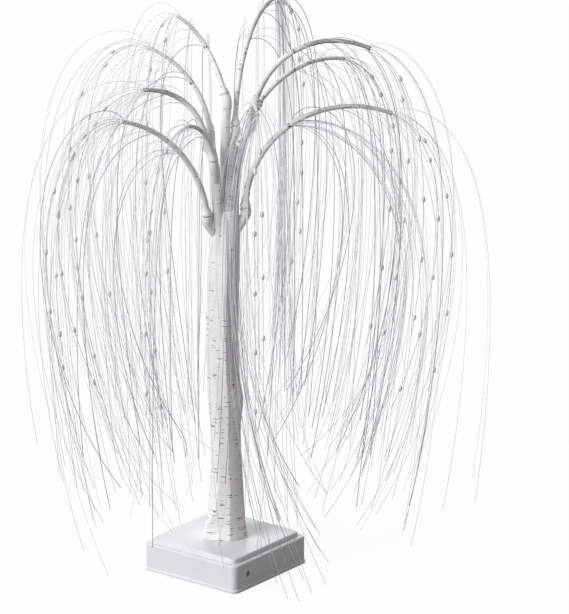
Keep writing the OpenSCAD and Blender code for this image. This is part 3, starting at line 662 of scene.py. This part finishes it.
def makeLimb(name, limb, shape):
    # a ball root, a skirt that flares over the rim of its cup, then a tapering wrap along the arc
    sides = shape["sides"]
    first, last, balls = shape["ball"]
    ball = np.radians(np.linspace(first, last, balls))
    t0 = direction(limb["heading"], math.radians(limb["rise"]))
    low, high = shape["skirt"]
    start, many = shape["skirtRings"]
    flare = np.linspace(start * low, high, many)
    s = np.concatenate(((0, low), flare, np.linspace(high, limb["length"], shape["rings"])[1:]))
    places, rises = limbArc(limb, s)
    rim = limb["radius"] + shape["ballGap"] + shape["cupWall"]
    skirt = np.where(s > low, 1 - ease((s - low) / (high - low)), 0)
    radius = limbRadius(limb, s)
    radius = (radius + (rim - radius) * skirt)[:, None] * limbSwell(limb, s, fullTurn(sides)[None, :], shape)
    path = np.concatenate((limb["root"] - np.outer(np.sin(ball), t0) * limb["radius"], places))
    along = np.concatenate((np.tile(t0, (balls, 1)), direction(limb["heading"], rises)))
    radius = np.concatenate((np.tile(limb["radius"] * np.cos(ball)[:, None], (1, sides)), radius))
    across = acrossOf(np.array([limb["heading"]]))
    grid = sweep(path[None], radius[None], across, sides, along[None])
    # painted shade that darkens the outer end of the limb
    start, span = shape["greyFrom"]
    soot = limb["grey"] * ease((s / limb["length"] - start) / span)
    before, length = shape["char"]
    char = (name in shape["charred"]) * np.exp(-((s - knotPlaces(limb)[0] + before) / length) ** 2)
    clean = np.zeros(balls)
    values = {"soot": np.append(clean, soot)[None, :, None], "char": np.append(clean, char)[None, :, None]}
    piece = ringMesh(name + "Bark", grid, barkWrap, values)
    settle(piece, name, "bark_wrap", name + "_bark")


tree = readLimbs()
for name, limb in tree.items():
    makeLimb(name, limb, limbShape)
print("limbs wrapped:", len(tree))


# Stems and arms: the limb that an arm holds, and where it starts inside the wood, above the trunk's top
arms = {
    "limb_8": (-0.003, -0.007, -0.032),
    "limb_2": (0.007, 0.0035, -0.032),
    "limb_9": (-0.0044, -0.0079, 0.024),
    "limb_7": (-0.0076, -0.0103, 0.056),
    "limb_6": (-0.0076, -0.0103, 0.057),
    "limb_5": (-0.0018, 0.0061, 0.09),
    "limb_4": (-0.0051, 0.0073, 0.048),
    "limb_10": (0.0156, 0.0108, 0.07),
    "limb_1": (0.022, 0.016, 0.087),
    "limb_3": (0.022, 0.016, 0.087),
}
stemShape = {
    "rings": 56,
    "sides": 24,
    "sunk": 0.02,  # how far a stem reaches into the trunk
    "dome": (12, 84, 7),  # rings of its end: degrees above the last one, and how many
    "domeHeight": 0.6,  # in times the radius
    "lumps": (0.03, 0.5),  # depth, and the share of the finer ones
    "lumpWaves": (0.31, 2, 0.17, 0.83, 3),
    # painted shade on the right stem, which stands in the others' shade
    "soot": {"stem_right": 0.62},
    "reach": 0.009,  # straight run of an arm before its cup
    "rim": 0.4,  # depth of the cup's rim below the ball's middle, in radii
    "armRadii": (0.85, 0.92),  # at the start and before the cup, as shares of the cup's
    "armRings": 20,
    "cup": (50, 6),  # degrees down the inside of the cup, and its rings
}


def stemAxis(axis):
    # the axis as a smooth curve, sunk into the trunk, with a domed end
    points = smoothRow(axis, stemShape["rings"])
    low = points[0] - (0, 0, stemShape["sunk"], 0)
    up = np.append(unit(points[-1, :3] - points[-2, :3]), 0)
    dome = np.radians(np.linspace(*stemShape["dome"]))[:, None]
    size = points[-1, 3]
    top = points[-1] + np.sin(dome) * stemShape["domeHeight"] * size * up
    top[:, 3] = size * np.cos(dome[:, 0])
    return np.vstack((low, points, top))


def armRows(limb, origin):
    # an arm's path and radii: from the axis to the rim of its cup, then down the inside of the cup
    size = limb["radius"] + limbShape["ballGap"]
    outer = size + limbShape["cupWall"]
    rim = stemShape["rim"] * limb["radius"]
    t = direction(limb["heading"], math.radians(limb["rise"]))
    knee = limb["root"] - t * stemShape["reach"]
    first, second = stemShape["armRadii"]
    turns = [(*origin, first * outer), (*knee, second * outer), (*(limb["root"] - t * rim), outer)]
    rows = smoothRow(turns, stemShape["armRings"])
    down, many = stemShape["cup"]
    deep = np.arcsin(rim / size) + np.radians(np.linspace(0, down, many))
    cup = np.concatenate((limb["root"] - np.outer(np.sin(deep), t) * size, size * np.cos(deep)[:, None]), 1)
    along = np.concatenate((unit(np.gradient(rows[:, :3], axis=0)), np.tile(t, (many, 1))))
    return np.vstack((rows, cup)), along


def roughened(rows, sides):
    # radii round each row, lumpy like wound paper: two crossing waves and a finer one
    turn = fullTurn(sides)[None, :]
    mm = 1000 * rows[:, 2:3]
    wave, folds, second, fine, fineFolds = stemShape["lumpWaves"]
    depth, share = stemShape["lumps"]
    lumps = np.sin(wave * mm + folds * turn) * np.sin(second * mm - turn)
    lumps = lumps + share * np.sin(fine * mm + fineFolds * turn)
    return rows[:, 3:] * (1 + depth * lumps)


def makeStem(name, axis):
    # rings along the stem's curve
    sides = stemShape["sides"]
    rows = stemAxis(axis) + (0, 0, trunk["top"], 0)
    grid = sweep(rows[None, :, :3], roughened(rows, sides)[None], np.array([[1.0, 0, 0]]), sides)
    # painted shade, on the stems that have it
    soot = np.full(grid.shape[:3], stemShape["soot"].get(name, 0.0))
    stem = ringMesh(name.title().replace("_", ""), grid, barkWrap, {"soot": soot})
    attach(stem, "base")
    if name in frame["nodes"]:
        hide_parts(name)


def makeArm(held, origin):
    # rings along an arm, and on down the inside of its cup
    sides = stemShape["sides"]
    limb = tree[held]
    rows, along = armRows(limb, np.array(origin) + (0, 0, trunk["top"]))
    across = acrossOf(np.array([limb["heading"]]))
    radius = np.tile(rows[:, 3:], (1, sides))
    arm = ringMesh(held + "Arm", sweep(rows[None, :, :3], radius[None], across, sides, along[None]), barkWrap)
    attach(arm, "base")


for name, axis in stems.items():
    makeStem(name, axis)
for name, origin in arms.items():
    makeArm(name, origin)
print("stems:", len(stems), "arms:", len(arms))


# Strands
strandShape = {
    "fan": 34.0,  # half of the fan in degrees
    "shares": ((0.87, 0.77, -0.87, -0.97, -0.77, 0.97),  # of the fan, by knot and side
        (0.63, 0.55, -0.63, -0.71, -0.55, 0.71),
        (0.41, 0.25, -0.4, -0.5, -0.18, 0.5)),
    "lifts": (8, 32, 8, -14, -26, -14),  # in degrees, by side
    "liftScatter": 8,
    "tips": ((0.33, 8, 1.04), (0.12, -8, 0.96)),  # fan, lift and bend of two out of the tip
    "tipNumbers": (30, 31),
    "tipSpot": (1 / 3, 0.577),  # where they leave the tip, ahead and to either side, in radii
    "rootOut": 0.0015,
    "bends": (0.62, 0.17, 0.12),  # share of the limb's bend, more for each knot, and scatter
    "drop": 0.75,  # share of the bend that a strand loses in height
    "ends": (0.024, 0.07),  # how much higher each knot's strands end, and scatter
    "lastRise": (-87, -11),  # in degrees, and scatter
    "leastCurl": 0.3,
    "scatters": (7, 31, 3, 5),  # for lift, bend, last rise and curl
    "radius": 0.00036,
    "clearRadius": 0.00019,
    "extra": 8,  # finer ones to a limb, each beside one of the others
    "extraRadius": 0.00013,
    "tressRadius": 0.00021,
    "rings": 34,
    "ringGaps": 1.4,  # power by which the rings draw together towards the limb
    "sides": 5,
    "sway": 0.06,  # lean of the lower ends
    "extraSway": 0.3,
    "most": 1.5,  # times its spread, for the one that differs most
    # a finer strand's spread of root, heading, rise and bend, its curl and the curl's spread, and its
    # least and greatest share of the length; angles in degrees
    "beside": (0.0003, 0.6, 1.2, 0.015, 8, 11, 0.82, 1.04),
    # tresses of more fine ones: how many, the first and the number of the strands beside them, heading
    # and its spread in degrees, lean and its spread, heights of the ends, share of the bend
    "tress": {
        "limb_10": (28, 12, 8, -30, 2.5, 0.46, 0.09, 0.03, 0.15, 1.25),
        "limb_4": (24, 12, 8, 14, 2, 0, 0.05, 0.16, 0.3, 0.9),
        "limb_2": (16, 3, 3, 2, 4, 0, 0.1, 0.06, 0.15, 2.4),
    },
    "clear": 0.74,  # share of the strands that are nearly white above
    "clearer": 0.84,  # the same on the limbs on the lamp's side, painted paler as painted light
    "paleLimbs": ("limb_5", "limb_6", "limb_7", "limb_8", "limb_9"),
    "darkFrom": (0.55, 0.45),  # share of the length where they darken, and over what share
    "darken": 0.75,
    "greyMost": 0.4,  # paleness of the palest of the grey ones
    "above": 0.003,  # of the lowest ends over the table
    "trunkGap": (0.041, 0.37),  # kept from the middle of the trunk, and below what height
    "colour": (0.33, 0.33, 0.43, 1),
    "pale": (0.915, 0.915, 0.975, 1),
    "ripples": (140.0, 0.15),  # along a strand, to a metre, and their share of the colour
    "rough": (0.3, 0.15),  # roughness, and as much more in the ripples
    "grain": (400.0, 0.1, 0.0001),  # to a metre, strength and depth
    "seed": 7,
}


def strandFinish(s):
    # a grey and a nearly white that the mesh blends, rippled along the strand
    finish, place, uv = newFinish("strandPlastic")
    tone = place.value("tone")
    often, share = s["ripples"]
    ripple = uv.scaled(1, often, 1).noise(1, 2)
    colour = (tone * (1 - share) + ripple * share).blend(s["colour"], s["pale"])
    fine, strength, depth = s["grain"]
    rough, rougher = s["rough"]
    closeFinish(place, {
        "Base Color": colour,
        "Roughness": rough + ripple * rougher,
        "Normal": uv.noise(fine, 2).bump(strength, depth),
    })
    return finish


def strandPaths(q, s):
    # each strand turns from its own rise to its last one over its bend length, curls in and leans by the
    # square of the share of its length; the directions are summed along it
    f = np.linspace(0, 1, s["rings"])[None, :] ** s["ringGaps"]
    run = f * q["length"][:, None]
    last, bend = q["lastRise"][:, None], q["bend"][:, None]
    angle = last + (q["rise"][:, None] - last) * np.exp(-run / bend) - q["curl"][:, None] * f ** 2
    aim = direction(q["heading"][:, None], angle)
    aim = unit(aim + acrossOf(q["heading"])[:, None, :] * (q["lean"][:, None] * f ** 2)[..., None])
    step = np.diff(run, axis=1)[..., None] * (aim[:, 1:] + aim[:, :-1]) / 2
    return np.concatenate((q["root"][:, None], q["root"][:, None] + np.cumsum(step, 1)), 1)


scatterWave = (78.233, 12.9, 4375.85)  # degrees to a step, start and gain


def scatter(i):
    # a repeatable scatter from 0 to 1: what is past the whole part of an enlarged sine
    pace, start, gain = scatterWave
    v = np.sin(np.radians(i * pace + start)) * gain
    return v - np.floor(v)


def mainStrands(limb, s):
    # a strand out of each of six sides of each knot and two out of the tip; inner knots spread wider
    knots = limbShape["knots"]
    knot = np.append(np.repeat(np.arange(knots), 6), (knots - 1, knots - 1))
    number = np.append(np.arange(6 * knots), s["tipNumbers"])
    tips = np.array(s["tips"])
    heading = round(math.degrees(limb["heading"])) % 360
    spot = np.append(knotPlaces(limb)[knot[:-2]] + limbShape["knot"] / 3, np.full(2, limb["length"]))
    places, rises = limbArc(limb, spot)
    phi = np.radians(60 * np.tile(np.arange(6), knots))
    sixth = np.radians(60)
    ahead, beside = s["tipSpot"]
    a = np.append((np.cos(phi) + 2 * np.cos(phi + sixth)) / 3, (ahead, ahead))
    b = np.append((np.sin(phi) + 2 * np.sin(phi + sixth)) / 3, (beside, -beside))
    side = acrossOf(np.full(len(spot), limb["heading"]))
    along = direction(limb["heading"], rises)
    over = np.cross(along, side)
    out = np.cos(phi + sixth / 2)[:, None] * side[:-2] + np.sin(phi + sixth / 2)[:, None] * over[:-2]
    out = np.concatenate((out, along[-2:])) * s["rootOut"]
    root = places + limbRadius(limb, spot)[:, None] * (a[:, None] * side + b[:, None] * over) + out
    forLift, forBend, forRise, forCurl = s["scatters"]
    lift = np.tile(s["lifts"], knots) + s["liftScatter"] * (scatter(number[:-2] + forLift) - 0.5)
    least, more, spread = s["bends"]
    bend = least + more * knot[:-2] + spread * scatter(number[:-2] + forBend)
    bend = limb["bend"] * np.append(bend, tips[:, 2])
    higher, spread = s["ends"]
    end = limb["low"] + higher * (knots - 1 - knot) + spread * scatter(number + heading)
    lastRise, spread = s["lastRise"]
    knotRises = limbArc(limb, knotPlaces(limb))[1]
    aside = np.append(s["shares"], tips[:, 0])
    return {
        "root": root,
        "heading": limb["heading"] + np.radians(limb["share"] * s["fan"]) * aside,
        "rise": knotRises[knot] + np.radians(np.append(lift, tips[:, 1])),
        "lastRise": np.radians(lastRise + spread * scatter(number + forRise * heading)),
        "bend": bend,
        "length": root[:, 2] - end + s["drop"] * bend,
        "curl": np.radians(limb["curl"] * (s["leastCurl"] + scatter(number + forCurl * heading))),
        "lean": 0 * bend,
    }


def boundedDraws(n, s, rng):
    # draws from a bell curve of width 1, held within the most
    return np.clip(rng.normal(0, 1, n), -s["most"], s["most"])


def besideStrands(q, s, rng, pick):
    # finer strands that start beside others and part from them lower down
    n = len(pick)
    root, heading, rise, bend, curl, curlSpread, shortest, longest = s["beside"]
    near = {key: value[pick] for key, value in q.items()}
    near["root"] = near["root"] + rng.normal(0, root, (n, 3))
    near["heading"] = near["heading"] + np.radians(rng.normal(0, heading, n))
    near["rise"] = near["rise"] + np.radians(rng.normal(0, rise, n))
    near["bend"] = near["bend"] * (1 + rng.normal(0, bend, n))
    near["curl"] = near["curl"] + np.radians(curl + curlSpread * boundedDraws(n, s, rng))
    near["length"] = near["length"] * rng.uniform(shortest, longest, n)
    near["lean"] = s["extraSway"] * boundedDraws(n, s, rng)
    return near


def tressStrands(q, s, rng, tress):
    # finer strands that turn aside together as they leave a limb, and lean back lower down
    n, first, many, turn, spread, lean, leanSpread, low, high, bend = tress
    near = besideStrands(q, s, rng, first + np.arange(n) % many)
    near["heading"] = q["heading"].mean() + np.radians(turn + spread * rng.normal(0, 1, n))
    near["bend"] = bend * near["bend"]
    near["length"] = near["root"][:, 2] - rng.uniform(low, high, n) + s["drop"] * near["bend"]
    near["lean"] = lean + leanSpread * boundedDraws(n, s, rng)
    return near


def passTrunk(path, s):
    # points too near the trunk's middle move straight out from it to the least distance
    least, top = s["trunkGap"]
    off = np.linalg.norm(path[..., :2], axis=-1)
    off = np.where((path[..., 2] < top) & (off < least), least / off, 1)
    return path * np.stack((off, off, np.ones_like(off)), -1)


def makeStrands(name, limb, finish, s, rng):
    # rings along the main strands and the finer ones, cut short above the table, paler near the limb
    q = mainStrands(limb, s)
    main = len(q["bend"])
    sets = [q, besideStrands(q, s, rng, rng.permutation(main)[:s["extra"]])]
    if name in s["tress"]:
        sets.append(tressStrands(q, s, rng, s["tress"][name]))
    q["lean"] = s["sway"] * rng.normal(0, 1, main)
    q = {key: np.concatenate([part[key] for part in sets]) for key in q}
    count = len(q["bend"])
    # more nearly white strands on the limbs towards the lamp: painted light
    clear = rng.random(count) < s["clearer" if name in s["paleLimbs"] else "clear"]
    thick = np.full(count, s["extraRadius"])
    thick[:main] = np.where(clear[:main], s["clearRadius"], s["radius"])
    thick[main + s["extra"]:] = s["tressRadius"]
    q["length"] = q["length"] - np.maximum(0, s["above"] - strandPaths(q, s)[:, -1, 2])
    path = passTrunk(strandPaths(q, s), s)
    radius = np.tile(thick[:, None], (1, s["rings"]))
    start, span = s["darkFrom"]
    low = ease((np.linspace(0, 1, s["rings"]) - start) / span)
    grey = s["greyMost"] * rng.random((count, 1)) * (1 - low)
    tone = np.where(clear[:, None], 1 - s["darken"] * low, grey)[..., None]
    grid = sweep(path, radius, acrossOf(q["heading"]), s["sides"])
    piece = ringMesh(name + "Strands", grid, finish, {"tone": tone})
    piece.visible_shadow = False  # clear fibres: the light goes on past them
    settle(piece, name, "strand", name + "_strands")


rng = np.random.default_rng(strandShape["seed"])
strandPlastic = strandFinish(strandShape)
for name, limb in tree.items():
    makeStrands(name, limb, strandPlastic, strandShape, rng)
print("strands on", len(tree), "limbs")


# Bead lights; a pair for the wires is the first one's number and what each next one adds
beadShape = {
    "wires": 2,
    "beads": 5,
    "step": 0.062,  # along the wire
    "seat": (0.7, 0.3),  # of the first bead, in steps
    "aside": (0.04, 0.25),  # share of the strands' fan
    "bend": (0.98, -0.1),  # share of the strands' bend
    "lastRise": (-90, -6),  # in degrees
    "curl": 0.6,  # of the strands' curl
    "radius": 0.002,
    "half": 0.0033,  # half of a bead's length
    "wire": 0.0004,
    "tail": 0.02,
    "rings": (9, 13, 4),  # of the wire before a bead, of a bead and of the tail
    "tailStart": 0.2,  # share of the tail
    "sides": 8,
    "pathSteps": 240,
    "colour": (0.7, 0.71, 0.745, 1),
    "core": (0.95, 0.945, 0.935, 1),
    "clear": 0.7,  # share of the beads that are nearly white
    "dull": 0.2,  # paleness of the others
    "clouds": 420.0,  # to a metre
    "cloudEdge": (0.35, 0.7),
    "cloudShare": 0.2,  # of the colour
    "rough": (0.16, 0.12),  # roughness, and as much more in the clouds
    "grain": (900.0, 0.08, 0.0002),  # to a metre, strength and depth
    "gloss": 0.5,
}


def beadFinish(s):
    # a clear and a duller plastic that the mesh blends, clouded
    finish, place, _ = newFinish("beadPlastic")
    cloud = place.noise(s["clouds"], 2).step(*s["cloudEdge"])
    tone = place.value("tone")
    colour = (tone * (1 - s["cloudShare"]) + cloud * s["cloudShare"]).blend(s["colour"], s["core"])
    fine, strength, depth = s["grain"]
    rough, rougher = s["rough"]
    closeFinish(place, {
        "Base Color": colour,
        "Roughness": rough + cloud * rougher,
        "Normal": place.noise(fine, 2).bump(strength, depth),
        "Coat Weight": s["gloss"],
    })
    return finish


def lightRings(s, seats):
    # where the rings lie along each wire: evenly before each bead, closer over the bead
    wire, bead, tail = s["rings"]
    spans = seats[:, :, None] + s["half"] * np.linspace(-1, 1, bead)
    gaps = np.linspace(0, 1, wire + 1)[:-1]
    first = gaps * spans[:, 0, :1]
    ends, starts = spans[:, :-1, -1:], spans[:, 1:, :1]
    between = ends + (starts - ends) * gaps[1:]
    last = spans[:, -1, -1:] + s["tail"] * np.linspace(s["tailStart"], 1, tail + 1)
    parts = [part.reshape(s["wires"], -1) for part in (first, spans, between, last)]
    return np.sort(np.concatenate(parts, 1), 1)


def lightPaths(limb, s, along, heading, w, seats):
    # the wires fall from the tip like strands: directions summed along a fine path, which the rings'
    # places are read off
    tip, rise = limbArc(limb, np.full(s["wires"], limb["length"]))
    first, more = s["bend"]
    bend = limb["bend"] * (first + more * w)
    first, more = s["lastRise"]
    lastRise = np.radians(first + more * w)
    fine = np.linspace(0, along.max(), s["pathSteps"])
    angle = lastRise[:, None] + (rise - lastRise)[:, None] * np.exp(-fine[None, :] / bend[:, None])
    curl = math.radians(s["curl"] * limb["curl"]) * (fine[None, :] / seats[:, -1:]) ** 2
    aim = direction(heading[:, None], angle - curl)
    run = np.concatenate((np.zeros((s["wires"], 1, 3)), np.cumsum((aim[:, 1:] + aim[:, :-1]) / 2, 1)), 1)
    run = tip[:, None, :] + run * (fine[1] - fine[0])
    return np.stack([np.stack([np.interp(along[i], fine, run[i, :, k]) for k in range(3)], -1) for i in w])


def makeLights(name, limb, finish, s, rng):
    # wires that swell at each bead, by the square root of a cosine over its length
    w = np.arange(s["wires"])
    first, more = s["aside"]
    heading = limb["heading"] - math.radians(strandShape["fan"]) * limb["share"] * (first + more * w)
    first, more = s["seat"]
    seats = (np.arange(s["beads"])[None, :] + first + more * w[:, None]) * s["step"]
    along = lightRings(s, seats)
    near = np.abs(along[:, :, None] - seats[:, None, :]) / s["half"]
    clear = rng.random(seats.shape) < s["clear"]
    tone = np.take_along_axis(np.where(clear, 1.0, s["dull"]), near.argmin(2), 1)[..., None]
    near = near.min(2)
    swell = np.sqrt(np.cos(np.clip(near, 0, 1) * np.pi / 2))
    radius = s["wire"] + (s["radius"] - s["wire"]) * np.where(near < 1, swell, 0)
    path = lightPaths(limb, s, along, heading, w, seats)
    grid = sweep(path, radius, acrossOf(heading), s["sides"])
    piece = ringMesh(name + "Lights", grid, finish, {"tone": tone})
    settle(piece, name, "light_bead", name + "_lights")


beadPlastic = beadFinish(beadShape)
for name, limb in tree.items():
    makeLights(name, limb, beadPlastic, beadShape, rng)
print("lights:", len(tree) * beadShape["wires"] * beadShape["beads"])


# The base and what it holds: colour, second colour, roughness, metal, nodes
partFinishes = {
    "whiteShell": ((0.82, 0.84, 0.865, 1), (0.79, 0.81, 0.835, 1), 0.42, 0,
        ("base_cover", "base_plate", "battery_door")),
    "steel": ((0.62, 0.62, 0.63, 1), (0.5, 0.5, 0.51, 1), 0.28, 1,
        ("cover_screws", "contact_springs", "contact_plates", "trunk_post", "post_nut")),
    "rubber": ((0.06, 0.06, 0.06, 1), (0.09, 0.09, 0.09, 1), 0.8, 0, ("rubber_feet",)),
    "cellJacket": ((0.16, 0.19, 0.12, 1), (0.12, 0.14, 0.1, 1), 0.35, 0, ("battery_cells",)),
    "boardGreen": ((0.05, 0.24, 0.13, 1), (0.04, 0.18, 0.1, 1), 0.4, 0, ("circuit_board",)),
    "darkPlastic": ((0.03, 0.03, 0.032, 1), (0.05, 0.05, 0.052, 1), 0.45, 0,
        ("board_parts", "ir_receiver", "switch_body", "switch_slider")),
    "windowLens": ((0.09, 0.085, 0.055, 1), (0.06, 0.058, 0.04, 1), 0.12, 0, ("receiver_window",)),
    "leadSleeve": ((0.78, 0.77, 0.74, 1), (0.7, 0.69, 0.66, 1), 0.5, 0, ("lead_wires",)),
}
moulding = {
    "grain": 1600.0,  # of a moulded face, to a metre
    "relief": (0.12, 0.00012),  # strength and depth
    "rougher": 0.1,  # change of roughness with it
    "cloud": 45.0,
    "cloudEdge": (0.3, 0.7),
}


def partFinish(name, colour, second, rough, metal):
    # a clouded colour with a fine moulded grain
    finish, place, _ = newFinish(name)
    cloud = place.noise(moulding["cloud"], 3).step(*moulding["cloudEdge"])
    grain = place.noise(moulding["grain"], 2)
    closeFinish(place, {
        "Base Color": cloud.blend(colour, second),
        "Roughness": rough + grain * moulding["rougher"] - moulding["rougher"] / 2,
        "Metallic": float(metal),
        "Normal": grain.bump(*moulding["relief"]),
    })
    return finish


for name, (colour, second, rough, metal, nodes) in partFinishes.items():
    finish = partFinish(name, colour, second, rough, metal)
    for node in nodes:
        skin = frame["nodes"][node].data.materials
        skin.clear()
        skin.append(finish)
print("finishes:", len(partFinishes))
